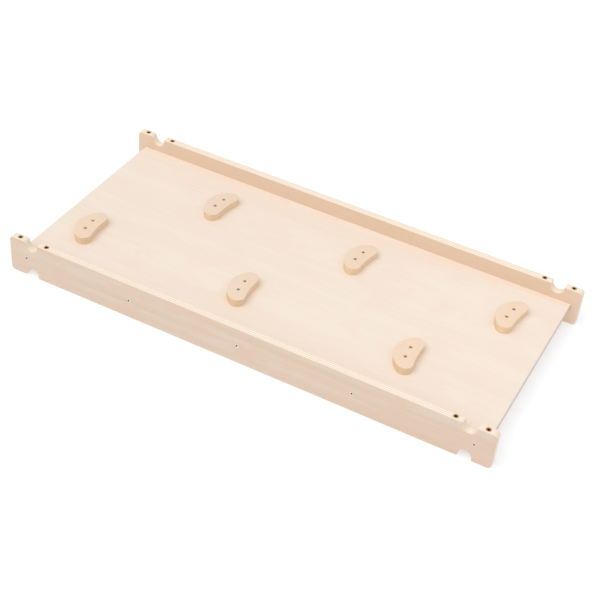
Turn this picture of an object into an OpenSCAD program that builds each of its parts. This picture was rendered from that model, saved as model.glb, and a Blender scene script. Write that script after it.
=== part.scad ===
// Reversible climbing ramp: two plywood side rails, a plywood deck between them,
// screwed-on bean-shaped climbing holds, and round notches at the ends of the
// rails that hang the ramp on the rung of a climbing frame.
// X runs along the ramp, Y across it, Z up. The origin lies on the ground under
// the middle of the ramp.

/* [Ramp] */
// Length of the side rails
rail_len = 1140; // [1000:10:1400]
// Width over both side rails
ramp_w = 525; // [470:5:700]
// Height of the side rails
rail_h = 90; // [84:1:120]
// Thickness of the side rail plywood
rail_t = 18; // [16:1:24]
// Radius of the four corners of a side rail
rail_corner_r = 10; // [4:1:16]

/* [Deck] */
// Thickness of the deck plywood
deck_t = 15; // [12:1:18]
// Step from the end of the rails back to the end of the deck
deck_setback = 20; // [8:1:24]

/* [Rung notches] */
// Radius of the round bottom of a notch, for a rung of twice this diameter
notch_r = 15; // [12:0.5:16]
// Depth of a notch below the edge of the rail
notch_depth = 21; // [18:0.5:24]
// Distance from the end of the rail to the middle of a notch
notch_inset = 57; // [54:1:80]
// Rounding of the lips of a notch
notch_lip_r = 2; // [1:0.5:4]
// Rounding of the outer lip of the notches at the left end, which hook over a rung
hook_lip_r = 8; // [4:0.5:10]

/* [Threaded inserts] */
// Distance between the two inserts beside a notch
insert_spacing = 68; // [60:1:72]
// Outer diameter of an insert
insert_d = 12; // [10:0.5:13]
// Length of an insert
insert_len = 13; // [11:0.5:15]
// Diameter of the threaded bore of an insert, the core of an M6 thread
insert_bore_d = 5; // [4:0.1:5.2]
// Size across the flats of the hexagon socket in the mouth of an insert
insert_hex = 6; // [5.5:0.1:6.4]
// Depth of the hexagon socket
insert_hex_depth = 4; // [2:0.5:6]

/* [Climbing holds] */
// Length of a hold, across the ramp
hold_len = 104; // [84:1:125]
// Width of a hold, along the ramp
hold_w = 52; // [44:1:62]
// Thickness of the hold plywood
hold_t = 18; // [15:1:24]
// Radius of the two ends of a hold
hold_end_r = 18; // [14:1:20]
// How far the finger side of a hold curves inwards
hold_hollow = 2.5; // [0.5:0.5:4]
// Distance between the two screws of a hold
hold_screw_spacing = 32; // [26:1:44]
// Distance of the front row of holds from the middle of the ramp
front_row_y = 113; // [90:1:140]
// Distance from the left end of the deck to the first hold of the front row
front_row_start = 83; // [60:1:160]
// Distance from the last hold of the front row to the right end of the deck
front_row_stop = 233; // [60:1:260]
// Turn of the holds of the front row
front_row_turn = 4; // [-12:1:12]
// Distance of the back row of holds from the middle of the ramp
back_row_y = 121; // [90:1:140]
// Distance from the left end of the deck to the first hold of the back row
back_row_start = 282; // [60:1:300]
// Distance from the last hold of the back row to the right end of the deck
back_row_stop = 98; // [60:1:160]
// Turn of the holds of the back row
back_row_turn = -8; // [-12:1:12]

/* [Screws] */
// Diameter of the head of a screw
screw_head_d = 8; // [7:0.5:9]
// Diameter of the shank of a screw
screw_shank_d = 4; // [3.5:0.1:4.5]
// Length of a screw through a side rail
rail_screw_len = 50; // [40:1:60]
// Wood left in the deck under the tip of a hold's screw
hold_screw_cover = 2.4; // [1:0.1:5]
// Distance from the end of the deck to the outermost screw of a rail
rail_screw_inset = 22; // [18:1:60]
// How deep the screw heads lie below the plywood face
screw_sink = 0.6; // [0.2:0.1:1]

/* [Hidden] */
FINE = 64;
CUT = 1;               // how far a cutting shape runs past the face it opens
RAIL_SCREWS = 5;       // screws in each side rail
HOLDS_PER_ROW = 3;     // holds in each row
END_STEPS = 28;        // straight steps that make each round end of a hold
BACK_STEPS = 32;       // and its round back
HOLLOW_STEPS = 8;      // and its hollow front
fit_play = 0.05;       // clearance around screws and inserts
ROWS = ["front", "back"];
ENDS = ["left", "right"];
EDGES = ["bottom", "top"];

deck_len = rail_len - 2 * deck_setback;
deck_w = ramp_w - 2 * rail_t;
deck_low = (rail_h - deck_t) / 2;
deck_top = deck_low + deck_t;
deck_mid = deck_low + deck_t / 2;
notch_x = rail_len / 2 - notch_inset;
rail_y = ramp_w / 2 - rail_t / 2;
rail_screw_pitch = (deck_len - 2 * rail_screw_inset) / (RAIL_SCREWS - 1);
insert_pocket_len = insert_len + 1;

hold_screw_len = hold_t + deck_t - screw_sink - hold_screw_cover;
screw_core_d = screw_shank_d * 0.75;
screw_head_h = (screw_head_d - screw_shank_d) / 2;
screw_tip_len = screw_core_d;
recess_w = screw_head_d * 0.13;
recess_span = screw_head_d * 0.55;
recess_depth = screw_head_h * 0.9;

// Outline of a hold: two round ends, a round back that meets both ends smoothly,
// and a slightly hollow front. The middle of the hold is the middle of its screws.
end_y = hold_len / 2 - hold_end_r;
front_x = hold_w * 0.46;
back_x = front_x - hold_w;
end_x = front_x - hold_end_r;
back_gap = end_x - back_x - hold_end_r;
back_off = (pow(end_y, 2) - pow(back_gap, 2)) / (2 * back_gap);
back_cx = end_x + back_off;
back_r = back_cx - back_x;
back_turn = atan2(end_y, -back_off);
hollow_r = (pow(end_y, 2) + pow(hold_hollow, 2)) / (2 * hold_hollow) - hold_end_r;
hollow_cx = front_x - hold_hollow + hollow_r;
hollow_turn = atan2(end_y, hollow_cx - end_x);

rail_nodes = [for (row = ROWS) str(row, "_side_rail")];
hold_nodes = [for (i = [1 : 2 * HOLDS_PER_ROW]) str("climbing_hold_", i)];
hold_screw_nodes = [for (name = hold_nodes) str(name, "_screws")];
rail_screw_nodes = [for (row = ROWS) str(row, "_rail_screws")];
insert_nodes = [for (row = ROWS, end = ENDS, edge = EDGES) str(row, "_", end, "_", edge, "_inserts")];

// Side of the ramp, end of a rail or edge of a rail, as -1 for the first and 1 for the second
function side(i) = 2 * i - 1;

// Row of a hold, how far it stands along its row from 0 to 1, and its place and turn
function hold_row(i) = floor(i / HOLDS_PER_ROW);
function hold_share(i) = i % HOLDS_PER_ROW / (HOLDS_PER_ROW - 1);
function row_x(start, stop, share) = -deck_len / 2 + start + share * (deck_len - start - stop);
function hold_pos(i) = hold_row(i) == 0
    ? [row_x(front_row_start, front_row_stop, hold_share(i)), -front_row_y]
    : [row_x(back_row_start, back_row_stop, hold_share(i)), back_row_y];
function hold_turn(i) = hold_row(i) == 0 ? front_row_turn : back_row_turn;
// Points along an arc, without its last one, which starts the next arc of the outline
function arc(centre, r, from, to, steps) =
    [for (k = [0 : steps - 1]) let (a = from + (to - from) * k / steps) centre + r * [cos(a), sin(a)]];
function rail_screw_x(k) = (k - (RAIL_SCREWS - 1) / 2) * rail_screw_pitch;

// A plate in the XZ plane, with its thickness along Y and centred on it
module upright(thickness) {
    rotate([90, 0, 0])
        linear_extrude(height = thickness, center = true)
            children();
}

module rounded_rectangle(length, height, r) {
    translate([-length / 2 + r, 0])
        square([length - 2 * r, height]);
    translate([-length / 2, r])
        square([length, height - 2 * r]);
    for (x = [-1, 1], y = [r, height - r])
        translate([x * (length / 2 - r), y])
            circle(r, $fn = FINE);
}

// One notch, open downwards at height 0. Its lips have the radii of the list lip_r,
// towards the middle of the rail (-X) and towards its end (+X).
module notch_outline(lip_r) {
    centre_z = notch_depth - notch_r;
    translate([0, centre_z])
        circle(notch_r, $fn = FINE);
    translate([-notch_r, -CUT])
        square([2 * notch_r, centre_z + CUT]);
    for (i = [0, 1])
        mirror([1 - i, 0])
            difference() {
                translate([0, -CUT])
                    square([notch_r + lip_r[i], lip_r[i] + CUT]);
                translate([notch_r + lip_r[i], lip_r[i]])
                    circle(lip_r[i], $fn = FINE);
            }
}

module rail_outline() {
    difference() {
        rounded_rectangle(rail_len, rail_h, rail_corner_r);
        for (end = [0, 1], edge = [0, 1])
            translate([side(end) * notch_x, edge * rail_h])
                mirror([1 - end, 0])
                    mirror([0, edge])
                        notch_outline([notch_lip_r, end == 0 ? hook_lip_r : notch_lip_r]);
    }
}

// Puts its children at both inserts beside a notch, with +Z out of the rail's edge
module at_inserts(row, end, edge) {
    for (s = [-1, 1])
        translate([side(end) * notch_x + s * insert_spacing / 2, side(row) * rail_y, edge * rail_h])
            rotate([edge == 1 ? 0 : 180, 0, 0])
                children();
}

// Puts its children at each screw of a rail, with +Z out of the rail's outer face
module at_rail_screws(row) {
    for (k = [0 : RAIL_SCREWS - 1])
        translate([rail_screw_x(k), side(row) * ramp_w / 2, deck_mid])
            rotate([-side(row) * 90, 0, 0])
                children();
}

// Puts its children at a hold, turned with it, on the top of the deck
module at_hold(i) {
    translate([hold_pos(i)[0], hold_pos(i)[1], deck_top])
        rotate([0, 0, hold_turn(i)])
            children();
}

// Puts its children at both screws of a hold, with +Z out of the hold's top
module at_hold_screws(i) {
    at_hold(i)
        for (s = [-1, 1])
            translate([0, s * hold_screw_spacing / 2, hold_t])
                children();
}

// A countersunk wood screw, its head sunk below height 0 and its tip pointing down
module screw(length) {
    shank_end = length / 2;
    translate([0, 0, -screw_sink])
        difference() {
            rotate_extrude($fn = FINE)
                polygon([
                    [0, 0],
                    [screw_head_d / 2, 0],
                    [screw_shank_d / 2, -screw_head_h],
                    [screw_shank_d / 2, -shank_end],
                    [screw_core_d / 2, -shank_end],
                    [screw_core_d / 2, -length + screw_tip_len],
                    [0, -length]
                ]);
            for (turn = [0, 90])
                rotate([0, 0, turn])
                    translate([-recess_span / 2, -recess_w / 2, -recess_depth])
                        cube([recess_span, recess_w, recess_depth + CUT]);
        }
}

// The drilled and countersunk hole that the same screw needs
module screw_hole(length) {
    shank_end = length / 2;
    head_r = screw_head_d / 2 + fit_play;
    shank_r = screw_shank_d / 2 + fit_play;
    core_r = screw_core_d / 2 + fit_play;
    translate([0, 0, -screw_sink])
        rotate_extrude($fn = FINE)
            polygon([
                [0, screw_sink + CUT],
                [head_r, screw_sink + CUT],
                [head_r, 0],
                [shank_r, -screw_head_h],
                [shank_r, -shank_end - fit_play],
                [core_r, -shank_end - fit_play],
                [core_r, -length - fit_play],
                [0, -length - fit_play]
            ]);
}

module insert() {
    translate([0, 0, -insert_len])
        difference() {
            cylinder(h = insert_len, d = insert_d, $fn = FINE);
            translate([0, 0, -CUT])
                cylinder(h = insert_len + 2 * CUT, d = insert_bore_d, $fn = FINE);
            translate([0, 0, insert_len - insert_hex_depth])
                cylinder(h = insert_hex_depth + CUT, d = insert_hex / cos(30), $fn = 6);
        }
}

module insert_pocket() {
    translate([0, 0, -insert_pocket_len])
        cylinder(h = insert_pocket_len + CUT, d = insert_d + 2 * fit_play, $fn = FINE);
}

module side_rail(row) {
    color("wheat")
        difference() {
            translate([0, side(row) * rail_y, 0])
                upright(rail_t)
                    rail_outline();
            at_rail_screws(row)
                screw_hole(rail_screw_len);
            for (end = [0, 1], edge = [0, 1])
                at_inserts(row, end, edge)
                    insert_pocket();
        }
}

module deck_board() {
    color("antiquewhite")
        difference() {
            translate([-deck_len / 2, -deck_w / 2, deck_low])
                cube([deck_len, deck_w, deck_t]);
            for (row = [0, 1])
                at_rail_screws(row)
                    screw_hole(rail_screw_len);
            for (i = [0 : 2 * HOLDS_PER_ROW - 1])
                at_hold_screws(i)
                    screw_hole(hold_screw_len);
        }
}

module hold_outline() {
    polygon(concat(
        arc([end_x, end_y], hold_end_r, -hollow_turn, back_turn, END_STEPS),
        arc([back_cx, 0], back_r, back_turn, 360 - back_turn, BACK_STEPS),
        arc([end_x, -end_y], hold_end_r, 360 - back_turn, 360 + hollow_turn, END_STEPS),
        arc([hollow_cx, 0], hollow_r, 180 + hollow_turn, 180 - hollow_turn, HOLLOW_STEPS)
    ));
}

module climbing_hold(i) {
    color("burlywood")
        difference() {
            at_hold(i)
                linear_extrude(height = hold_t)
                    hold_outline();
            at_hold_screws(i)
                screw_hole(hold_screw_len);
        }
}

module climbing_hold_screws(i) {
    color("silver")
        at_hold_screws(i)
            screw(hold_screw_len);
}

module rail_screws(row) {
    color("silver")
        at_rail_screws(row)
            screw(rail_screw_len);
}

module rung_inserts(row, end, edge) {
    color("goldenrod")
        at_inserts(row, end, edge)
            insert();
}

deck_board();
for (row = [0, 1])
    side_rail(row);
for (row = [0, 1])
    rail_screws(row);
for (i = [0 : 2 * HOLDS_PER_ROW - 1])
    climbing_hold(i);
for (i = [0 : 2 * HOLDS_PER_ROW - 1])
    climbing_hold_screws(i);
for (row = [0, 1], end = [0, 1], edge = [0, 1])
    rung_inserts(row, end, edge);
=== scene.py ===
"""A wooden climbing ramp: two side rails, a deck and six climbing holds, finished and lit."""

import math

import bmesh
import bpy
from bpy.props import FloatProperty, FloatVectorProperty, IntProperty, PointerProperty
from bpy.types import NodeSocket, Operator, Panel, PropertyGroup
from mathutils import Matrix, Vector


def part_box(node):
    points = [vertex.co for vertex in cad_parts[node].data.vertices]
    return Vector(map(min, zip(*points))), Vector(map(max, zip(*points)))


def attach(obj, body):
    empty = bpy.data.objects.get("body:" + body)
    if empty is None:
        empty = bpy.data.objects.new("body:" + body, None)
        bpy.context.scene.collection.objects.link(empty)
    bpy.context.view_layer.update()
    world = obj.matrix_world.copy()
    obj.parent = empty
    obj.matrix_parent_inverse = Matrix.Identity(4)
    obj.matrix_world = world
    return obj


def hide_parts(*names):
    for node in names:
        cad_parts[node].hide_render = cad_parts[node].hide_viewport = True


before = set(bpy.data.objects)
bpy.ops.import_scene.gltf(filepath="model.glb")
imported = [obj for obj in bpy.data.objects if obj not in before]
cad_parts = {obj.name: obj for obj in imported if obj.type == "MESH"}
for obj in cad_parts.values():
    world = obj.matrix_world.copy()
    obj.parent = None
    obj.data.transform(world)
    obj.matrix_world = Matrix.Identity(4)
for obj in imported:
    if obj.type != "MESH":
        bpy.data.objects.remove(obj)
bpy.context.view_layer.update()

bl_info = {
    "name": "Climbing Ramp Workshop",
    "version": (1, 0, 0),
    "blender": (4, 5, 0),
    "location": "3D View > Sidebar > Ramp",
    "description": "Finishes a plywood climbing ramp and sets up its studio",
    "category": "Object",
}

ROWS = ("front", "back")
ENDS = ("left", "right")
EDGES = ("bottom", "top")
FRONT_HOLDS = (1, 2, 3)
HOLD_TONES = {1: 0.25, 2: 0.10, 3: 0.45, 4: 0.0, 5: 0.15, 6: 0.40}  # how warm each hold is
RAIL_SCREWS = 5
HOLD_SCREWS = 2
INSERTS = 2             # inserts of one pair, one on each side of a notch
INSERT_TINTS = {        # how red the first insert of a pair is, and the step to the next
    ("front", "left"): (0.05, 0.95),
    ("front", "right"): (0.10, 0.90),
    ("back", "left"): (0.15, 0.65),
    ("back", "right"): (0.50, -0.50),
}
ROOT = "root"
AXIS_X = Vector((1.0, 0.0, 0.0))
AXIS_Y = Vector((0.0, 1.0, 0.0))
AXIS_Z = Vector((0.0, 0.0, 1.0))
STALE_SHADING = ("custom_normal",)
WELD = 2e-6             # points closer than this are one, in metres
ON_PLANE = 1e-5         # how near a point counts as lying on a face, in metres
SAME_PLANE = 0.9999995  # cosine between the normals of two faces of one flat patch
SMALL_FACE = 1.2e-4     # patches below this area, in square metres, belong to curves
WOOD_CREASE = math.radians(32.0)   # sharper bends than this stay crisp
METAL_CREASE = math.radians(35.0)
PLY_SPREAD = 1.01       # the plies are spread over slightly more than the board's thickness
PLY_SKIN = 0.00008      # and start this far outside its face, so no face lies on a glue line
RAIL_CONTRAST = 0.7     # how clearly the plies show on the cut edges
DECK_CONTRAST = 0.5
HOLD_CONTRAST = 1.0
RAIL_FIGURE = 2.0       # how much livelier the rails' veneer is than the deck's
RAIL_SHIFT = Vector((2.3, 0.0, 1.7))    # places on the veneer that the boards are cut from
DECK_SHIFT = Vector((6.1, 3.3, 0.0))
HOLD_SHIFT = Vector((1.9, -2.7, 0.0))
RIDGE_HALF_WIDTH = 0.34                 # of a thread's ridge, as a share of its pitch
RECESS_ARM = 0.3                        # half of the cross recess, as shares of the head:
RECESS_HALF_WIDTH = 0.15                # along an arm and across it
FREE_SPIN = math.pi                     # fasteners are turned by up to this much
HOLD_SEED = 10
INSERT_SEED = 30
BROAD_BANDS = (1.6, 34.0, 34.0)         # noise cells in a metre along, across and through
STREAKS = (9.0, 260.0, 260.0)
FIBRES = (40.0, 1500.0, 1500.0)
PORES = (160.0, 2400.0, 2400.0)
BLOTCHES = (11.0, 17.0, 17.0)
WAVER = (2.2, 9.0, 9.0)
END_SPECKLE = (1700.0, 1700.0, 1700.0)


# ---------------------------------------------------------------- settings

class RampWoodSettings(PropertyGroup):
    """Sizes and colours of the plywood pieces."""

    rail_round: FloatProperty(
        name="Rail edge rounding", description="Radius sanded on the outline of the side rails",
        default=0.0018, min=0.0002, max=0.0019, unit="LENGTH")
    deck_round: FloatProperty(
        name="Deck edge rounding", description="Radius sanded on the two ends of the deck",
        default=0.001, min=0.0002, max=0.003, unit="LENGTH")
    hold_round: FloatProperty(
        name="Hold edge rounding", description="Radius sanded round the top of each hold",
        default=0.0011, min=0.0002, max=0.004, unit="LENGTH")
    round_steps: IntProperty(
        name="Rounding steps", description="Faces across a rounded edge",
        default=4, min=2, max=8)
    rail_plies: IntProperty(
        name="Plies in a rail", description="Veneers glued into a side rail",
        default=7, min=3, max=21)
    deck_plies: IntProperty(
        name="Plies in the deck", description="Veneers glued into the deck",
        default=7, min=3, max=21)
    hold_plies: IntProperty(
        name="Plies in a hold", description="Veneers glued into a hold",
        default=7, min=3, max=21)
    deck_colour: FloatVectorProperty(
        name="Deck face", description="Colour of the deck's face veneer",
        subtype="COLOR", size=3, default=(0.85, 0.745, 0.645), min=0.0, max=1.0)
    rail_colour: FloatVectorProperty(
        name="Rail face", description="Colour of a side rail's face veneer",
        subtype="COLOR", size=3, default=(0.73, 0.59, 0.475), min=0.0, max=1.0)
    hold_colour: FloatVectorProperty(
        name="Hold face", description="Colour of the top veneer of a hold",
        subtype="COLOR", size=3, default=(0.81, 0.645, 0.505), min=0.0, max=1.0)
    edge_colour: FloatVectorProperty(
        name="Cut edge", description="Colour of plies cut along their grain",
        subtype="COLOR", size=3, default=(0.98, 0.89, 0.79), min=0.0, max=1.0)
    end_tone: FloatVectorProperty(
        name="End grain tone", description="How plies cut across their grain differ",
        subtype="COLOR", size=3, default=(0.95, 0.90, 0.83), min=0.0, max=1.0)
    # The deck's cut ends are darkened, painting the shade that falls on them.
    deck_end_shade_colour: FloatVectorProperty(
        name="Deck edge", description="Colour of the deck's cut ends",
        subtype="COLOR", size=3, default=(0.72, 0.645, 0.57), min=0.0, max=1.0)
    hold_edge_colour: FloatVectorProperty(
        name="Hold edge", description="Colour of a hold's cut side",
        subtype="COLOR", size=3, default=(0.97, 0.80, 0.60), min=0.0, max=1.0)
    glue_colour: FloatVectorProperty(
        name="Glue line", description="Colour of the glue between two plies",
        subtype="COLOR", size=3, default=(0.62, 0.43, 0.28), min=0.0, max=1.0)


class RampMetalSettings(PropertyGroup):
    """Sizes and colours of the screws and the threaded inserts."""

    head_d: FloatProperty(
        name="Screw head", description="Diameter of a screw head",
        default=0.008, min=0.004, max=0.012, unit="LENGTH")
    shank_d: FloatProperty(
        name="Screw shank", description="Diameter of a screw's plain shank",
        default=0.004, min=0.002, max=0.006, unit="LENGTH")
    hold_screw_pitch: FloatProperty(
        name="Hold screw spacing", description="Distance between a hold's two screws",
        default=0.032, min=0.01, max=0.08, unit="LENGTH")
    front_turn: FloatProperty(
        name="Front row turn", description="How far the front holds are turned",
        default=math.radians(4.0), subtype="ANGLE")
    back_turn: FloatProperty(
        name="Back row turn", description="How far the back holds are turned",
        default=math.radians(-8.0), subtype="ANGLE")
    insert_d: FloatProperty(
        name="Insert", description="Outside diameter of a threaded insert",
        default=0.012, min=0.006, max=0.014, unit="LENGTH")
    insert_bore: FloatProperty(
        name="Insert bore", description="Core diameter of the insert's thread",
        default=0.005, min=0.003, max=0.008, unit="LENGTH")
    insert_hex: FloatProperty(
        name="Insert socket", description="Width across the flats of the hexagon socket",
        default=0.006, min=0.004, max=0.008, unit="LENGTH")
    insert_socket: FloatProperty(
        name="Socket depth", description="Depth of the hexagon socket",
        default=0.004, min=0.001, max=0.008, unit="LENGTH")
    steel_colour: FloatVectorProperty(
        name="Steel", description="Colour of the bright zinc plating",
        subtype="COLOR", size=3, default=(0.93, 0.95, 0.97), min=0.0, max=1.0)
    gold_colour: FloatVectorProperty(
        name="Insert yellow", description="Yellow side of the insert's plating",
        subtype="COLOR", size=3, default=(0.72, 0.55, 0.22), min=0.0, max=1.0)
    red_colour: FloatVectorProperty(
        name="Insert red", description="Reddish side of the insert's plating",
        subtype="COLOR", size=3, default=(0.90, 0.40, 0.25), min=0.0, max=1.0)
    # The hold screws' zinc, darkened to paint the shade that falls on their sunk heads.
    sunk_head_shade_colour: FloatVectorProperty(
        name="Hold screws", description="Colour of the duller screws in the holds",
        subtype="COLOR", size=3, default=(0.66, 0.57, 0.48), min=0.0, max=1.0)
    # Nearly black: painted shade down in a screw's recess.
    recess_shade_colour: FloatVectorProperty(
        name="Screw recess", description="Colour down in a screw's recess",
        subtype="COLOR", size=3, default=(0.012, 0.03, 0.06), min=0.0, max=1.0)
    # Painted shade down in a hold screw's recess, lighter than on the rail screws.
    sunk_recess_shade_colour: FloatVectorProperty(
        name="Hold screw recess", description="Colour down in a hold screw's recess",
        subtype="COLOR", size=3, default=(0.50, 0.45, 0.40), min=0.0, max=1.0)
    # Nearly black: painted shade down in an insert's socket and bore.
    socket_shade_colour: FloatVectorProperty(
        name="Insert socket", description="Colour down in an insert's socket",
        subtype="COLOR", size=3, default=(0.07, 0.055, 0.035), min=0.0, max=1.0)
    seed: IntProperty(
        name="Seed", description="Picks how the fasteners are turned", default=7, min=0)


class RampStageSettings(PropertyGroup):
    """Camera, light and floor of the studio."""

    lens: FloatProperty(
        name="Lens", description="Focal length", default=79.49, min=20.0, max=200.0,
        subtype="DISTANCE_CAMERA")
    azimuth: FloatProperty(
        name="Azimuth", description="Camera's turn round the ramp",
        default=math.radians(24.294), subtype="ANGLE")
    elevation: FloatProperty(
        name="Elevation", description="Camera's height angle",
        default=math.radians(39.454), subtype="ANGLE")
    roll: FloatProperty(
        name="Roll", description="Camera's lean to one side",
        default=math.radians(5.671), subtype="ANGLE")
    distance: FloatProperty(
        name="Distance", description="Camera's distance from its target",
        default=2.9499, min=0.5, max=20.0, unit="LENGTH")
    target: FloatVectorProperty(
        name="Target", description="Point that the camera looks at",
        subtype="TRANSLATION", size=3, default=(0.00789, 0.01279, -0.0206))
    floor_size: FloatProperty(
        name="Floor", description="Width of the studio floor", default=16.0, min=2.0,
        unit="LENGTH")
    floor_colour: FloatVectorProperty(
        name="Floor colour", description="Colour of the studio floor",
        subtype="COLOR", size=3, default=(0.545, 0.56, 0.58), min=0.0, max=1.0)
    floor_glow: FloatProperty(
        name="Floor glow", description="Light given off by the backlit backdrop",
        default=0.445, min=0.0, max=2.0)
    sky_strength: FloatProperty(
        name="Sky", description="Strength of the even light all round",
        default=0.69, min=0.0, max=4.0)
    key_power: FloatProperty(
        name="Key light", description="Strength of the soft light overhead",
        default=1.27, min=0.0, max=20.0)
    key_spread: FloatProperty(
        name="Key spread", description="How wide the soft light looks from the ramp",
        default=math.radians(55.0), subtype="ANGLE")
    key_from: FloatVectorProperty(
        name="Key direction", description="Direction that the soft light comes from",
        subtype="DIRECTION", size=3, default=(-0.22, -0.45, 1.0))
    fill_at: FloatVectorProperty(
        name="Softbox place", description="Where the small softbox hangs",
        subtype="TRANSLATION", size=3, default=(1.3, -0.3, 1.7))
    fill_size: FloatProperty(
        name="Softbox size", description="Diameter of the small softbox",
        default=1.2, min=0.1, max=4.0, unit="LENGTH")
    fill_power: FloatProperty(
        name="Softbox power", description="Power of the small softbox",
        default=2.3, min=0.0, max=100.0, unit="POWER")


# ---------------------------------------------------------------- materials

class NodeBench:
    """Adds nodes to one tree and joins them up."""

    def __init__(self, tree):
        self.tree = tree

    def add(self, kind, inputs=None, **settings):
        node = self.tree.nodes.new(kind)
        for key, value in settings.items():
            setattr(node, key, value)
        for key, value in (inputs or {}).items():
            self.feed(node.inputs[key], value)
        return node

    def feed(self, socket, value):
        if isinstance(value, NodeSocket):
            self.tree.links.new(value, socket)
        elif socket.type == "RGBA" and len(value) == 3:
            socket.default_value = (*value, 1.0)
        else:
            socket.default_value = value

    def math(self, operation, first, second=0.0, third=0.0, clamp=False):
        node = self.add("ShaderNodeMath", {0: first, 1: second, 2: third},
                        operation=operation, use_clamp=clamp)
        return node.outputs[0]

    def scaled(self, vector, scale):
        node = self.add("ShaderNodeVectorMath", {0: vector, 1: scale}, operation="MULTIPLY")
        return node.outputs[0]

    def noise(self, vector, detail=2.0, roughness=0.5):
        node = self.add("ShaderNodeTexNoise", {
            "Vector": vector, "Scale": 1.0, "Detail": detail, "Roughness": roughness})
        return node.outputs["Fac"]

    def window(self, value, low, high, out_low=0.0, out_high=1.0):
        node = self.add("ShaderNodeMapRange", {
            "Value": value, "From Min": low, "From Max": high,
            "To Min": out_low, "To Max": out_high}, interpolation_type="SMOOTHSTEP")
        return node.outputs[0]

    def blend(self, factor, first, second):
        node = self.add("ShaderNodeMix", data_type="RGBA")
        self.feed(node.inputs[0], factor)
        self.feed(node.inputs[6], first)
        self.feed(node.inputs[7], second)
        return node.outputs[2]

    def blend_vector(self, factor, first, second):
        node = self.add("ShaderNodeMix", data_type="VECTOR")
        self.feed(node.inputs[0], factor)
        self.feed(node.inputs[4], first)
        self.feed(node.inputs[5], second)
        return node.outputs[1]


def new_material(name):
    """An empty node material, its bench and its surface shader."""
    material = bpy.data.materials.new(name)
    material.use_nodes = True
    tree = material.node_tree
    tree.nodes.clear()
    bench = NodeBench(tree)
    shader = bench.add("ShaderNodeBsdfPrincipled")
    bench.add("ShaderNodeOutputMaterial", {"Surface": shader.outputs[0]})
    return material, bench, shader


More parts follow.
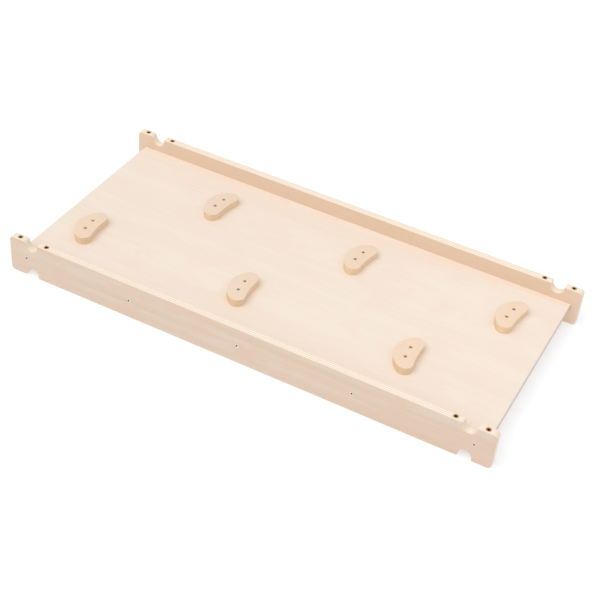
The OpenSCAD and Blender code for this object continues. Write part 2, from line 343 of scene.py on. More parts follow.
def make_plywood(name, wood, face_colour, edge_colour, thickness, plies, ply_contrast,
                 figure=1.0):
    """Birch plywood all through: face veneer, crossed plies, glue lines, fibres and pores.

    A raised figure makes the marks of the face veneer stronger.
    """
    material, bench, shader = new_material(name)
    stock = bench.add("ShaderNodeAttribute", attribute_name="stock").outputs["Vector"]
    cut = bench.add("ShaderNodeAttribute", attribute_name="cut").outputs["Vector"]
    veneer_tone_and_bounce = bench.add("ShaderNodeAttribute", attribute_name="veneer_tone_and_bounce").outputs["Fac"]
    place = bench.add("ShaderNodeSeparateXYZ", {0: stock}).outputs
    facing = bench.add("ShaderNodeSeparateXYZ", {0: cut}).outputs

    # which ply a point lies in, and whether that ply runs along or across the sheet
    ply_count = bench.math("DIVIDE", place[2], thickness / plies)
    ply_index = bench.math("FLOOR", ply_count)
    ply_part = bench.math("FRACT", ply_count)
    crossed = bench.math("MODULO", ply_index, 2.0)
    shift = bench.math("MULTIPLY", ply_index, 3.7)
    along = bench.add("ShaderNodeCombineXYZ", {0: place[0], 1: place[1], 2: place[2]}).outputs[0]
    across = bench.add("ShaderNodeCombineXYZ", {0: place[1], 1: place[0], 2: place[2]}).outputs[0]
    grain = bench.blend_vector(crossed, along, across)
    offset = bench.add("ShaderNodeCombineXYZ", {0: shift, 1: shift, 2: 0.0}).outputs[0]
    grain = bench.add("ShaderNodeVectorMath", {0: grain, 1: offset}, operation="ADD").outputs[0]

    # the figure of the veneer, from broad bands down to pores
    waver = bench.noise(bench.scaled(grain, WAVER), 2.0)
    waver = bench.math("MULTIPLY", waver, 0.012)
    sway = bench.add("ShaderNodeCombineXYZ", {0: 0.0, 1: waver, 2: 0.0}).outputs[0]
    swayed = bench.add("ShaderNodeVectorMath", {0: grain, 1: sway}, operation="ADD").outputs[0]
    broad = bench.noise(bench.scaled(swayed, BROAD_BANDS), 3.0, 0.6)
    streak = bench.noise(bench.scaled(swayed, STREAKS), 4.0, 0.65)
    fibre = bench.noise(bench.scaled(swayed, FIBRES), 3.0, 0.6)
    pores = bench.noise(bench.scaled(grain, PORES), 1.0)
    blotch = bench.noise(bench.scaled(grain, BLOTCHES), 3.0, 0.65)
    end_speckle = bench.noise(bench.scaled(stock, END_SPECKLE), 2.0, 0.7)

    def toned(factors):
        return tuple(min(1.0, c * k ** figure) for c, k in zip(face_colour, factors))

    warm = toned((0.99, 0.965, 0.93))
    pale = toned((1.01, 1.015, 1.02))
    rosy = toned((1.01, 0.97, 0.96))
    line = toned((0.965, 0.925, 0.87))
    colour = bench.blend(bench.window(broad, 0.35, 0.68), pale, warm)
    colour = bench.blend(bench.window(blotch, 0.44, 0.66), colour, rosy)
    colour = bench.blend(bench.window(streak, 0.54, 0.74, 0.0, 0.75), colour, line)
    # Warmer, brighter copy of the face: for the holds their own tone; for the back rail partly
    # its own veneer, partly painted light for the warm bounce off the deck.
    warm_veneer_and_bounce = tuple(c * k for c, k in zip(face_colour, (1.09, 1.02, 0.945)))
    colour = bench.blend(veneer_tone_and_bounce, colour, warm_veneer_and_bounce)

    # on a cut edge each ply shows its side or its end
    end_along = bench.math("MULTIPLY", facing[0], bench.math("SUBTRACT", 1.0, crossed))
    end_across = bench.math("MULTIPLY", facing[1], crossed)
    end = bench.math("ADD", end_along, end_across, clamp=True)
    wall = bench.math("SUBTRACT", 1.0, facing[2], clamp=True)
    # for the deck this cut-edge colour is darkened, painting the shade on its ends
    edge = bench.blend(bench.window(streak, 0.3, 0.7, 0.0, 0.35), edge_colour,
                       tuple(c * 0.9 for c in edge_colour))
    end_strength = ply_contrast / 0.35
    end_colour = tuple(c * k ** end_strength for c, k in zip(edge_colour, wood.end_tone))
    end_dark = tuple(c * 0.85 for c in end_colour)
    end_grain = bench.blend(bench.window(end_speckle, 0.35, 0.65, 0.0, 0.6),
                            end_colour, end_dark)
    edge = bench.blend(end, edge, end_grain)
    from_middle = bench.math("ABSOLUTE", bench.math("SUBTRACT", ply_part, 0.5))
    glue = bench.window(from_middle, 0.42, 0.485, 0.0, ply_contrast)
    edge = bench.blend(glue, edge, wood.glue_colour)
    colour = bench.blend(wall, colour, edge)
    pore_dark = bench.window(pores, 0.66, 0.80, 0.0, 0.22)
    colour = bench.blend(pore_dark, colour, tuple(c * 0.6 for c in face_colour))

    relief = bench.math("MULTIPLY", fibre, 0.5)
    relief = bench.math("MULTIPLY_ADD", streak, 0.8, relief)
    relief = bench.math("SUBTRACT", relief, bench.math("MULTIPLY", pore_dark, 2.0))
    relief = bench.math("SUBTRACT", relief, bench.math("MULTIPLY", glue, wall))
    bump = bench.add("ShaderNodeBump", {"Strength": 0.25, "Distance": 0.00025, "Height": relief})
    bench.feed(shader.inputs["Base Color"], colour)
    bench.feed(shader.inputs["Roughness"], bench.window(streak, 0.25, 0.75, 0.50, 0.62))
    bench.feed(shader.inputs["Normal"], bump.outputs[0])
    shader.inputs["Specular IOR Level"].default_value = 0.35
    return material


def make_steel(metal):
    """Bright zinc plating with fine turning marks, a little dulling, painted shade down in the
    recess, and darker zinc on the hold screws that paints the shade on their sunk heads.
    """
    material, bench, shader = new_material("screw_zinc")
    spot = bench.add("ShaderNodeTexCoord").outputs["Object"]
    cloud = bench.noise(bench.scaled(spot, (500.0, 500.0, 500.0)), 3.0, 0.6)
    scratch = bench.noise(bench.scaled(spot, (5200.0, 1300.0, 5200.0)), 2.0, 0.6)
    dull = tuple(c * 0.85 for c in metal.steel_colour)
    colour = bench.blend(bench.window(cloud, 0.38, 0.70), metal.steel_colour, dull)
    # hold screws (tint 1) take the darker zinc that paints the shade on their sunk heads
    tint = bench.add("ShaderNodeAttribute", attribute_name="tint").outputs["Fac"]
    colour = bench.blend(tint, colour, metal.sunk_head_shade_colour)
    # painted shade down in the recess: nearly black, lighter on the hold screws
    hollow = bench.add("ShaderNodeAttribute", attribute_name="hollow").outputs["Fac"]
    recess = bench.blend(tint, metal.recess_shade_colour, metal.sunk_recess_shade_colour)
    colour = bench.blend(hollow, colour, recess)
    bump = bench.add("ShaderNodeBump",
                     {"Strength": 0.12, "Distance": 0.00008, "Height": scratch})
    bench.feed(shader.inputs["Base Color"], colour)
    bench.feed(shader.inputs["Roughness"], bench.window(cloud, 0.3, 0.7, 0.24, 0.42))
    bench.feed(shader.inputs["Normal"], bump.outputs[0])
    shader.inputs["Metallic"].default_value = 1.0
    return material


def make_insert_plating(metal):
    """Yellow plating whose hue drifts towards red from one insert to the next, with painted shade
    down in the socket.
    """
    material, bench, shader = new_material("insert_plating")
    spot = bench.add("ShaderNodeTexCoord").outputs["Object"]
    tint = bench.add("ShaderNodeAttribute", attribute_name="tint").outputs["Fac"]
    hollow = bench.add("ShaderNodeAttribute", attribute_name="hollow").outputs["Fac"]
    cloud = bench.noise(bench.scaled(spot, (420.0, 420.0, 420.0)), 3.0, 0.6)
    tool = bench.noise(bench.scaled(spot, (3800.0, 3800.0, 900.0)), 2.0, 0.6)
    colour = bench.blend(tint, metal.gold_colour, metal.red_colour)
    shade = tuple(c * 0.62 for c in metal.gold_colour)
    colour = bench.blend(bench.window(cloud, 0.45, 0.75, 0.0, 0.7), colour, shade)
    # painted shade down in the socket and the bore
    colour = bench.blend(hollow, colour, metal.socket_shade_colour)
    bump = bench.add("ShaderNodeBump", {"Strength": 0.15, "Distance": 0.0001, "Height": tool})
    bench.feed(shader.inputs["Base Color"], colour)
    bench.feed(shader.inputs["Roughness"], bench.window(cloud, 0.3, 0.7, 0.26, 0.45))
    bench.feed(shader.inputs["Normal"], bump.outputs[0])
    shader.inputs["Metallic"].default_value = 1.0
    return material


def make_floor_finish(stage):
    """Matt white backdrop paper with a trace of mottle."""
    material, bench, shader = new_material("backdrop_paper")
    spot = bench.add("ShaderNodeTexCoord").outputs["Object"]
    mottle = bench.noise(bench.scaled(spot, (3.0, 3.0, 3.0)), 3.0)
    tone = tuple(c * 0.995 for c in stage.floor_colour)
    bench.feed(shader.inputs["Base Color"], bench.blend(mottle, stage.floor_colour, tone))
    shader.inputs["Roughness"].default_value = 0.9
    shader.inputs["Specular IOR Level"].default_value = 0.1
    shader.inputs["Emission Color"].default_value = (1.0, 1.0, 1.0, 1.0)
    shader.inputs["Emission Strength"].default_value = stage.floor_glow
    return material


# ---------------------------------------------------------------- wood working

def welded_copy(node):
    """The shape of one CAD node with its loose triangles welded together."""
    bm = bmesh.new()
    bm.from_mesh(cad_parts[node].data)
    bmesh.ops.remove_doubles(bm, verts=bm.verts, dist=WELD)
    return bm


def at_level(item, axis, level):
    """Whether a face or an edge lies at one level along an axis."""
    return all(abs(v.co.dot(axis) - level) < ON_PLANE for v in item.verts)


def open_edges(bm, axis, level):
    return [e for e in bm.edges if e.is_boundary and at_level(e, axis, level)]


def open_loops(bm, axis, level):
    """The loops of open edges that lie at one level along an axis, the widest one last."""
    waiting = dict.fromkeys(open_edges(bm, axis, level))
    loops = []
    while waiting:
        group = [waiting.popitem()[0]]
        for edge in group:
            for near in [e for v in edge.verts for e in v.link_edges]:
                if near in waiting:
                    del waiting[near]
                    group.append(near)
        loops.append(group)
    return sorted(loops, key=loop_span)


def loop_span(edges):
    points = [v.co for e in edges for v in e.verts]
    return sum(max(p[i] for p in points) - min(p[i] for p in points) for i in range(3))


def walk(edges):
    """The points of one closed loop in order, each with the wall edge that follows it."""
    point = edges[0].verts[0]
    left = set(edges)
    order = []
    while left:
        edge = next(e for e in point.link_edges if e in left)
        left.discard(edge)
        order.append((point, edge))
        point = edge.other_vert(point)
    return order


def round_rim(bm, axis, level, radius, steps):
    """Takes off the flat face at one level and closes it again with a rounded rim."""
    face = [f for f in bm.faces if at_level(f, axis, level)]
    outward = axis if face[0].normal.dot(axis) > 0.0 else -axis
    bmesh.ops.delete(bm, geom=face, context="FACES")
    order = walk(open_loops(bm, axis, level)[-1])
    normals = [edge.link_faces[0].normal.copy() for _, edge in order]
    points = [point for point, _ in order]
    leans = []
    for i, normal in enumerate(normals):
        before = normals[i - 1]
        leans.append(-(before + normal) / (1.0 + before.dot(normal)))
    for point in points:
        point.co -= outward * radius
    last = points
    for step in range(1, steps + 1):
        angle = math.pi / 2 * step / steps
        rise = outward * radius * math.sin(angle)
        inset = radius * (1.0 - math.cos(angle))
        ring = [bm.verts.new(p.co + rise + lean * inset) for p, lean in zip(points, leans)]
        join_rings(bm, last, ring)
        last = ring
    bmesh.ops.triangle_fill(bm, use_beauty=True, edges=open_edges(bm, axis, level),
                            normal=outward)


def mark_curves(bm):
    """Smooths the faces of curves and keeps every wide flat face flat."""
    waiting = set(bm.faces)
    while waiting:
        patch = [waiting.pop()]
        for face in patch:
            for edge in face.edges:
                for other in edge.link_faces:
                    if other in waiting and face.normal.dot(other.normal) > SAME_PLANE:
                        waiting.discard(other)
                        patch.append(other)
        curved = sum(face.calc_area() for face in patch) < SMALL_FACE
        for face in patch:
            face.smooth = curved


def finish_wood(bm, name, axes, corner, veneer_tone_and_bounce, material):
    """Turns worked wood into a piece, and keeps where each point lay in its sheet."""
    if any(not edge.is_manifold for edge in bm.edges):
        raise RuntimeError(name + " is not closed")
    bmesh.ops.recalc_face_normals(bm, faces=bm.faces[:])
    mark_curves(bm)
    mesh = bpy.data.meshes.new(name)
    bm.to_mesh(mesh)
    bm.free()
    for stale in [a for a in mesh.attributes if a.name in STALE_SHADING]:
        mesh.attributes.remove(stale)
    mesh.set_sharp_from_angle(angle=WOOD_CREASE)
    stock = mesh.attributes.new("stock", "FLOAT_VECTOR", "POINT")
    for point, item in zip(mesh.vertices, stock.data):
        item.vector = [(point.co - corner).dot(axis) for axis in axes]
    cut = mesh.attributes.new("cut", "FLOAT_VECTOR", "FACE")
    for polygon, item in zip(mesh.polygons, cut.data):
        item.vector = [abs(polygon.normal.dot(axis)) for axis in axes]
    tone = mesh.attributes.new("veneer_tone_and_bounce", "FLOAT", "POINT")
    for item in tone.data:
        item.value = veneer_tone_and_bounce
    mesh.materials.append(material)
    piece = bpy.data.objects.new(name, mesh)
    bpy.context.scene.collection.objects.link(piece)
    return piece


def hand_in(piece, node):
    """Puts a finished piece in the place of one CAD node."""
    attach(piece, ROOT)
    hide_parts(node)


class RAMP_OT_side_rails(Operator):
    """Rounds and finishes the two side rails"""

    bl_idname = "ramp.side_rails"
    bl_label = "Side rails"

    def execute(self, context):
        wood = context.scene.ramp_wood
        low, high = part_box("front_side_rail")
        thickness = high.y - low.y
        material = make_plywood(
            "rail_birch_ply", wood, wood.rail_colour, wood.edge_colour,
            thickness * PLY_SPREAD, wood.rail_plies, RAIL_CONTRAST, RAIL_FIGURE)
        for place, row in enumerate(ROWS):
            node = row + "_side_rail"
            low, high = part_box(node)
            bm = welded_copy(node)
            round_rim(bm, AXIS_Y, low.y, wood.rail_round, wood.round_steps)
            round_rim(bm, AXIS_Y, high.y, wood.rail_round, wood.round_steps)
            outside = 1.0 if row == "front" else -1.0
            face = low.y if row == "front" else high.y
            corner = Vector((low.x - RAIL_SHIFT.x * (place + 1), face - outside * PLY_SKIN,
                             -RAIL_SHIFT.z * place))
            axes = (AXIS_X, AXIS_Z, AXIS_Y * outside)
            # The back rail takes the warmer, brighter face: partly its own veneer, partly painted
            # light for the warm bounce its inner face gets off the deck.
            veneer_tone_and_bounce = float(place)
            piece = finish_wood(bm, row + "_rail_board", axes, corner, veneer_tone_and_bounce, material)
            hand_in(piece, node)
        return {"FINISHED"}


class RAMP_OT_deck(Operator):
    """Finishes the deck board between the rails"""

    bl_idname = "ramp.deck"
    bl_label = "Deck"

    def execute(self, context):
        wood = context.scene.ramp_wood
        low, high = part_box("deck_board")
        thickness = high.z - low.z
        material = make_plywood(
            "deck_birch_ply", wood, wood.deck_colour, wood.deck_end_shade_colour,
            thickness * PLY_SPREAD, wood.deck_plies, DECK_CONTRAST)
        bm = welded_copy("deck_board")
        round_rim(bm, AXIS_X, low.x, wood.deck_round, wood.round_steps)
        round_rim(bm, AXIS_X, high.x, wood.deck_round, wood.round_steps)
        corner = low - DECK_SHIFT - AXIS_Z * PLY_SKIN
        piece = finish_wood(bm, "deck_panel", (AXIS_X, AXIS_Y, AXIS_Z), corner, 0.0, material)
        hand_in(piece, "deck_board")
        return {"FINISHED"}


def hold_spin(metal, number):
    """How a hold is turned on the deck."""
    turn = metal.front_turn if number in FRONT_HOLDS else metal.back_turn
    return Matrix.Rotation(turn, 3, "Z")


class RAMP_OT_holds(Operator):
    """Rounds and finishes the six climbing holds"""

    bl_idname = "ramp.holds"
    bl_label = "Climbing holds"

    def execute(self, context):
        wood = context.scene.ramp_wood
        metal = context.scene.ramp_metal
        low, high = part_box("climbing_hold_1")
        thickness = high.z - low.z
        material = make_plywood(
            "hold_birch_ply", wood, wood.hold_colour, wood.hold_edge_colour,
            thickness * PLY_SPREAD, wood.hold_plies, HOLD_CONTRAST)
        for number, veneer_tone_and_bounce in HOLD_TONES.items():
            node = "climbing_hold_%d" % number
            low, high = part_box(node)
            bm = welded_copy(node)
            round_rim(bm, AXIS_Z, high.z, wood.hold_round, wood.round_steps)
            spin = hold_spin(metal, number)
            axes = (spin @ AXIS_Y, spin @ -AXIS_X, AXIS_Z)
            corner = HOLD_SHIFT * number + AXIS_Z * (low.z - PLY_SKIN)
            piece = finish_wood(bm, "hold_block_%d" % number, axes, corner, veneer_tone_and_bounce, material)
            hand_in(piece, node)
        return {"FINISHED"}


# ---------------------------------------------------------------- fasteners

def add_ring(bm, angles, radii, height):
    return [bm.verts.new((r * math.cos(a), r * math.sin(a), height))
            for a, r in zip(angles, radii)]


def join_rings(bm, first, second):
    count = len(first)
    for i in range(count):
        j = (i + 1) % count
        bm.faces.new((first[i], first[j], second[j], second[i]))


def close_ring(bm, ring, height):
    middle = bm.verts.new((0.0, 0.0, height))
    count = len(ring)
    for i in range(count):
        bm.faces.new((ring[i], ring[(i + 1) % count], middle))


def thread_radii(angles, height, pitch, root, crest):
    """Radii of a screw thread where a level plane cuts it."""
    radii = []
    for angle in angles:
        phase = (height / pitch + angle / math.tau) % 1.0
        ridge = max(0.0, 1.0 - abs(phase - 0.5) / RIDGE_HALF_WIDTH)
        radii.append(root + (crest - root) * ridge)
    return radii


def pattern_mesh(bm, name, hollow):
    """Turns a fastener into a mesh that knows which of its points lie in its recess, where shade
    is painted.
    """
    bmesh.ops.recalc_face_normals(bm, faces=bm.faces[:])
    bm.verts.index_update()
    inside = {vert.index for vert in hollow}
    mesh = bpy.data.meshes.new(name)
    bm.to_mesh(mesh)
    bm.free()
    shade = mesh.attributes.new("hollow", "FLOAT", "POINT")
    for index, item in enumerate(shade.data):
        item.value = 1.0 if index in inside else 0.0
    for polygon in mesh.polygons:
        polygon.use_smooth = True
    mesh.set_sharp_from_angle(angle=METAL_CREASE)
    return mesh


def countersunk_screw(metal, length):
    """A countersunk wood screw with a tapered cross recess, its head's top at the origin."""
    head = metal.head_d / 2
    shank = metal.shank_d / 2
    cone = head - shank
    core = shank * 0.72
    arm = metal.head_d * RECESS_ARM
    half = metal.head_d * RECESS_HALF_WIDTH
    edge = math.atan2(half, arm)
    corner = math.pi / 4
    quarter = [-edge, -edge / 3, edge / 3, edge]
    quarter += [edge + (corner - edge) / 2, corner, corner + (corner - edge) / 2]
    angles = [a + k * math.pi / 2 for k in range(4) for a in quarter]
    recess = []
    for k in range(4):
        for a in quarter:
            if a <= edge:
                recess.append(arm / math.cos(a))
            else:
                recess.append(half / min(math.sin(a), math.cos(a)))
    bm = bmesh.new()
    floor = add_ring(bm, angles, [r * 0.65 for r in recess], -cone * 0.80)
    close_ring(bm, floor, -cone * 0.95)
    rings = [
        floor,
        add_ring(bm, angles, [r * 0.93 for r in recess], -0.00012),
        add_ring(bm, angles, [r * 1.07 for r in recess], 0.0),
        add_ring(bm, angles, [head - 0.00018] * len(angles), 0.0),
        add_ring(bm, angles, [head - 0.00005] * len(angles), -0.00005),
        add_ring(bm, angles, [head - 0.0001] * len(angles), -0.00025),
        add_ring(bm, angles, [shank] * len(angles), -cone),
    ]
    plain = length * 0.45
    pitch = metal.shank_d * 0.5
    rings.append(add_ring(bm, angles, [shank] * len(angles), -plain))
    rings.append(add_ring(bm, angles, [core] * len(angles), -plain - 0.0004))
    level = plain + 0.001
    point = length - metal.shank_d * 1.1
    while level < point:
        radii = thread_radii(angles, level, pitch, core, shank)
        rings.append(add_ring(bm, angles, radii, -level))
        level += pitch / 4
    taper = 0.8
    while level < length - 0.0008:
        radii = thread_radii(angles, level, pitch, core * taper, shank * taper)
        rings.append(add_ring(bm, angles, radii, -level))
        level += pitch / 4
        taper = max(0.25, taper - 0.09)
    for first, second in zip(rings, rings[1:]):
        join_rings(bm, first, second)
    close_ring(bm, rings[-1], -length)
    # the points of the recess floor and walls get the painted shade
    return pattern_mesh(bm, "screw_pattern", rings[0] + rings[1])


def threaded_insert(metal, length):
    """A screw-in insert: hexagon socket, threaded bore and a coarse outer thread."""
    outer = metal.insert_d / 2
    bore = metal.insert_bore / 2
    flat = metal.insert_hex / 2
    floor = -metal.insert_socket
    steps = 36
    angles = [math.tau * i / steps for i in range(steps)]
    sixth = math.pi / 3
    socket = [flat / math.cos((a + sixth / 2) % sixth - sixth / 2) for a in angles]
    bm = bmesh.new()

    def plain(radius, height):
        return add_ring(bm, angles, [radius] * steps, height)

    mouth = add_ring(bm, angles, socket, -0.00035)
    rings = [plain(bore * 1.12, -length), plain(bore, -length + 0.0005)]
    level = length - 0.001
    inner_pitch = 0.001
    while level > -floor + 0.0004:
        radii = thread_radii(angles, level, inner_pitch, bore, bore * 1.17)
        rings.append(add_ring(bm, angles, radii, -level))
        level -= inner_pitch / 4
    rings += [
        plain(bore, floor - 0.0002),
        plain(bore * 1.06, floor),
        add_ring(bm, angles, socket, floor),
        mouth,
        add_ring(bm, angles, [r + 0.0003 for r in socket], 0.0),
        plain(outer - 0.0003, 0.0),
        plain(outer - 0.0001, -0.00005),
        plain(outer, -0.0003),
        plain(outer, -0.0009),
        plain(outer * 0.86, -0.0012),
    ]
    level = 0.0016
    outer_pitch = 0.0026
    while level < length - 0.0014:
        radii = thread_radii(angles, -level, outer_pitch, outer * 0.84, outer)
        rings.append(add_ring(bm, angles, radii, -level))
        level += outer_pitch / 8
    rings += [plain(outer * 0.84, -length + 0.0010), plain(outer * 0.76, -length)]
    for first, second in zip(rings, rings[1:] + rings[:1]):
        join_rings(bm, first, second)
    # the points of the bore and the socket get the painted shade
    hollow = [v for ring in rings[:rings.index(mouth) + 1] for v in ring]
    return pattern_mesh(bm, "insert_pattern", hollow)


def build_fastener_row():
    """Geometry nodes that set copies of a fastener along a straight row."""
    tree = bpy.data.node_groups.new("fastener_row", "GeometryNodeTree")
    sockets = (
        ("Fastener", "NodeSocketGeometry"), ("Count", "NodeSocketInt"),
        ("First", "NodeSocketVector"), ("Step", "NodeSocketVector"),
        ("Facing", "NodeSocketVector"), ("Turn", "NodeSocketFloat"),
        ("Seed", "NodeSocketInt"), ("Tint", "NodeSocketFloat"),
        ("Tint Step", "NodeSocketFloat"), ("Finish", "NodeSocketMaterial"),
    )
    for name, kind in sockets:
        tree.interface.new_socket(name, in_out="INPUT", socket_type=kind)
    tree.interface.new_socket("Row", in_out="OUTPUT", socket_type="NodeSocketGeometry")
    bench = NodeBench(tree)
    given = bench.add("NodeGroupInput").outputs
    line = bench.add("GeometryNodeMeshLine", {
        "Count": given["Count"], "Start Location": given["First"],
        "Offset": given["Step"]}, mode="OFFSET", count_mode="TOTAL")
    copies = bench.add("GeometryNodeInstanceOnPoints", {
        "Points": line.outputs[0], "Instance": given["Fastener"],
        "Rotation": given["Facing"]})
    chance = bench.add("FunctionNodeRandomValue", {"Seed": given["Seed"]}, data_type="FLOAT")
    chance.inputs[2].default_value = 0.0
    bench.feed(chance.inputs[3], given["Turn"])
    about = bench.add("ShaderNodeCombineXYZ", {2: chance.outputs[1]})
    turned = bench.add("GeometryNodeRotateInstances", {
        "Instances": copies.outputs[0], "Rotation": about.outputs[0]})
    place = bench.add("GeometryNodeInputIndex").outputs[0]
    tint = bench.math("MULTIPLY_ADD", place, given["Tint Step"], given["Tint"])
    tinted = bench.add("GeometryNodeStoreNamedAttribute", {
        "Geometry": turned.outputs[0], "Name": "tint", "Value": tint},
        data_type="FLOAT", domain="INSTANCE")
    solid = bench.add("GeometryNodeRealizeInstances", {0: tinted.outputs[0]})
    coated = bench.add("GeometryNodeSetMaterial", {
        "Geometry": solid.outputs[0], "Material": given["Finish"]})
    bench.add("NodeGroupOutput", {0: coated.outputs[0]})
    return tree


def lay_row(tree, name, pattern, material, values):
    """Runs the row tree on one fastener and keeps the result as a plain mesh."""
    carrier = bpy.data.objects.new(name, pattern.copy())
    bpy.context.scene.collection.objects.link(carrier)
    modifier = carrier.modifiers.new("row", "NODES")
    modifier.node_group = tree
    given = {**values, "Finish": material}
    for item in tree.interface.items_tree:
        if item.in_out == "INPUT" and item.name in given:
            modifier[item.identifier] = given[item.name]
    graph = bpy.context.evaluated_depsgraph_get()
    mesh = bpy.data.meshes.new_from_object(carrier.evaluated_get(graph))
    mesh.name = name
    carrier.modifiers.remove(modifier)
    carrier.data = mesh
    return carrier


def row_tree():
    """The row tree, built the first time that it is wanted."""
    return bpy.data.node_groups.get("fastener_row") or build_fastener_row()


class RAMP_OT_screws(Operator):
    """Sets the screws of the rails and the holds"""

    bl_idname = "ramp.screws"
    bl_label = "Screws"

    def execute(self, context):
        metal = context.scene.ramp_metal
        tree = row_tree()
        steel = make_steel(metal)
        head = metal.head_d / 2
        for place, row in enumerate(ROWS):
            node = row + "_rail_screws"
            low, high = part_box(node)
            pattern = countersunk_screw(metal, high.y - low.y)
            facing = math.radians(90.0 if row == "front" else -90.0)
            plane = low.y if row == "front" else high.y
            first = (low.x + head, plane, (low.z + high.z) / 2)
            step = ((high.x - low.x - 2 * head) / (RAIL_SCREWS - 1), 0.0, 0.0)
            piece = lay_row(tree, row + "_rail_screw_row", pattern, steel, {
                "Count": RAIL_SCREWS, "First": first, "Step": step,
                "Facing": (facing, 0.0, 0.0), "Turn": FREE_SPIN, "Seed": metal.seed + place})
            hand_in(piece, node)
        for number in HOLD_TONES:
            node = "climbing_hold_%d_screws" % number
            low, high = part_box(node)
            pattern = countersunk_screw(metal, high.z - low.z)
            step = hold_spin(metal, number) @ AXIS_Y * metal.hold_screw_pitch
            first = (low + high) / 2 - step / 2
            first.z = high.z
            # a tint of 1 gives the hold screws the darker zinc, painted shade of their sunk heads
            piece = lay_row(tree, "hold_%d_screw_pair" % number, pattern, steel, {
                "Count": HOLD_SCREWS, "First": tuple(first), "Step": tuple(step),
                "Facing": (0.0, 0.0, 0.0), "Turn": FREE_SPIN,
                "Seed": metal.seed + HOLD_SEED + number, "Tint": 1.0})
            hand_in(piece, node)
        return {"FINISHED"}


class RAMP_OT_inserts(Operator):
    """Sets the threaded inserts in the rails' edges"""

    bl_idname = "ramp.inserts"
    bl_label = "Threaded inserts"

    def execute(self, context):
        metal = context.scene.ramp_metal
        tree = row_tree()
        plating = make_insert_plating(metal)
        low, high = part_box("front_left_top_inserts")
        pattern = threaded_insert(metal, high.z - low.z)
        radius = metal.insert_d / 2
        for row in ROWS:
            for end in ENDS:
                for edge in EDGES:
                    node = "%s_%s_%s_inserts" % (row, end, edge)
                    low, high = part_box(node)
                    up = edge == "top"
                    tint, tint_step = INSERT_TINTS[row, end]
                    first = (low.x + radius, (low.y + high.y) / 2, high.z if up else low.z)
                    piece = lay_row(tree, node[:-1] + "_pair", pattern, plating, {
                        "Count": INSERTS, "First": first,
                        "Step": (high.x - low.x - 2 * radius, 0.0, 0.0),
                        "Facing": (0.0 if up else math.pi, 0.0, 0.0), "Turn": FREE_SPIN,
                        "Seed": metal.seed + INSERT_SEED,
                        "Tint": tint, "Tint Step": tint_step})
                    hand_in(piece, node)
        return {"FINISHED"}


# ---------------------------------------------------------------- studio

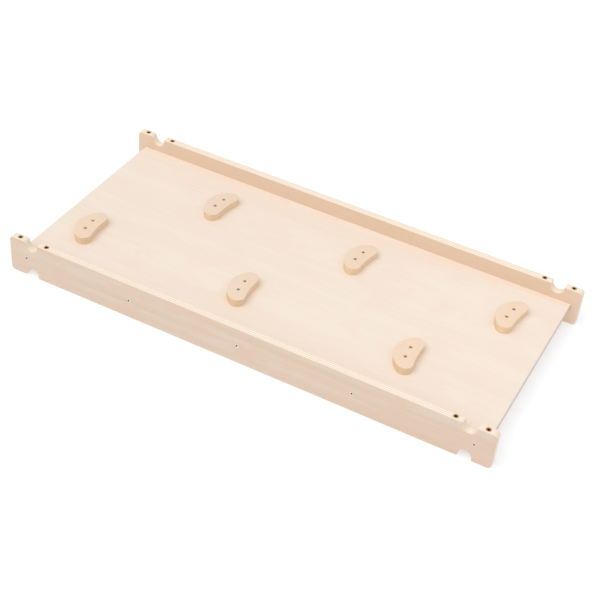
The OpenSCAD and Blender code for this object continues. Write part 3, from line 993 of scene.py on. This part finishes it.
class RAMP_OT_studio(Operator):
    """Lays the floor and sets the lights and the camera"""

    bl_idname = "ramp.studio"
    bl_label = "Studio"

    def execute(self, context):
        scene = context.scene
        stage = scene.ramp_stage
        self.lay_floor(scene, stage)
        self.set_lights(scene, stage)
        self.set_camera(scene, stage)
        scene.view_settings.view_transform = "Standard"
        return {"FINISHED"}

    def lay_floor(self, scene, stage):
        bm = bmesh.new()
        bmesh.ops.create_grid(bm, x_segments=8, y_segments=8, size=stage.floor_size / 2)
        mesh = bpy.data.meshes.new("studio_floor")
        bm.to_mesh(mesh)
        bm.free()
        mesh.materials.append(make_floor_finish(stage))
        floor = bpy.data.objects.new("studio_floor", mesh)
        scene.collection.objects.link(floor)

    def set_lights(self, scene, stage):
        """Even light all round, a soft light overhead and a small softbox."""
        world = bpy.data.worlds.new("studio_sky")
        world.use_nodes = True
        sky = world.node_tree.nodes["Background"]
        sky.inputs["Color"].default_value = (1.0, 1.0, 1.0, 1.0)
        sky.inputs["Strength"].default_value = stage.sky_strength
        scene.world = world
        light = bpy.data.lights.new("key_light", "SUN")
        light.energy = stage.key_power
        light.angle = stage.key_spread
        key = bpy.data.objects.new("key_light", light)
        key.rotation_euler = Vector(stage.key_from).to_track_quat("Z", "Y").to_euler()
        scene.collection.objects.link(key)
        softbox = bpy.data.lights.new("fill_softbox", "AREA")
        softbox.shape = "DISK"
        softbox.size = stage.fill_size
        softbox.energy = stage.fill_power
        fill = bpy.data.objects.new("fill_softbox", softbox)
        fill.location = stage.fill_at
        fill.rotation_euler = fill.location.to_track_quat("Z", "Y").to_euler()
        scene.collection.objects.link(fill)

    def set_camera(self, scene, stage):
        """Aims the camera at its target from its angles and its distance."""
        level = math.cos(stage.elevation)
        back = Vector((math.sin(stage.azimuth) * level, -math.cos(stage.azimuth) * level,
                       math.sin(stage.elevation)))
        side = AXIS_Z.cross(back).normalized()
        up = back.cross(side)
        right = side * math.cos(stage.roll) + up * math.sin(stage.roll)
        top = up * math.cos(stage.roll) - side * math.sin(stage.roll)
        data = bpy.data.cameras.new("studio_camera")
        data.lens = stage.lens
        data.sensor_width = 36.0
        camera = bpy.data.objects.new("studio_camera", data)
        spot = Vector(stage.target) + back * stage.distance
        turn = Matrix((right, top, back)).transposed().to_4x4()
        camera.matrix_world = Matrix.Translation(spot) @ turn
        scene.collection.objects.link(camera)
        scene.camera = camera


# ---------------------------------------------------------------- panel and run

class RAMP_PT_workshop(Panel):
    """Lists the steps that finish the ramp"""

    bl_idname = "RAMP_PT_workshop"
    bl_label = "Climbing ramp"
    bl_space_type = "VIEW_3D"
    bl_region_type = "UI"
    bl_category = "Ramp"

    def draw(self, context):
        layout = self.layout
        for step in STEPS:
            layout.operator(step.bl_idname)
        for group in (context.scene.ramp_wood, context.scene.ramp_metal,
                      context.scene.ramp_stage):
            box = layout.box()
            for key in group.__annotations__:
                box.prop(group, key)


STEPS = (RAMP_OT_side_rails, RAMP_OT_deck, RAMP_OT_holds, RAMP_OT_screws, RAMP_OT_inserts,
         RAMP_OT_studio)
CLASSES = (RampWoodSettings, RampMetalSettings, RampStageSettings, *STEPS, RAMP_PT_workshop)


def register():
    for item in CLASSES:
        bpy.utils.register_class(item)
    bpy.types.Scene.ramp_wood = PointerProperty(type=RampWoodSettings)
    bpy.types.Scene.ramp_metal = PointerProperty(type=RampMetalSettings)
    bpy.types.Scene.ramp_stage = PointerProperty(type=RampStageSettings)


def unregister():
    del bpy.types.Scene.ramp_stage
    del bpy.types.Scene.ramp_metal
    del bpy.types.Scene.ramp_wood
    for item in reversed(CLASSES):
        bpy.utils.unregister_class(item)


def main():
    register()
    for step in STEPS:
        group, name = step.bl_idname.split(".")
        getattr(getattr(bpy.ops, group), name)()


if __name__ == "__main__":
    main()
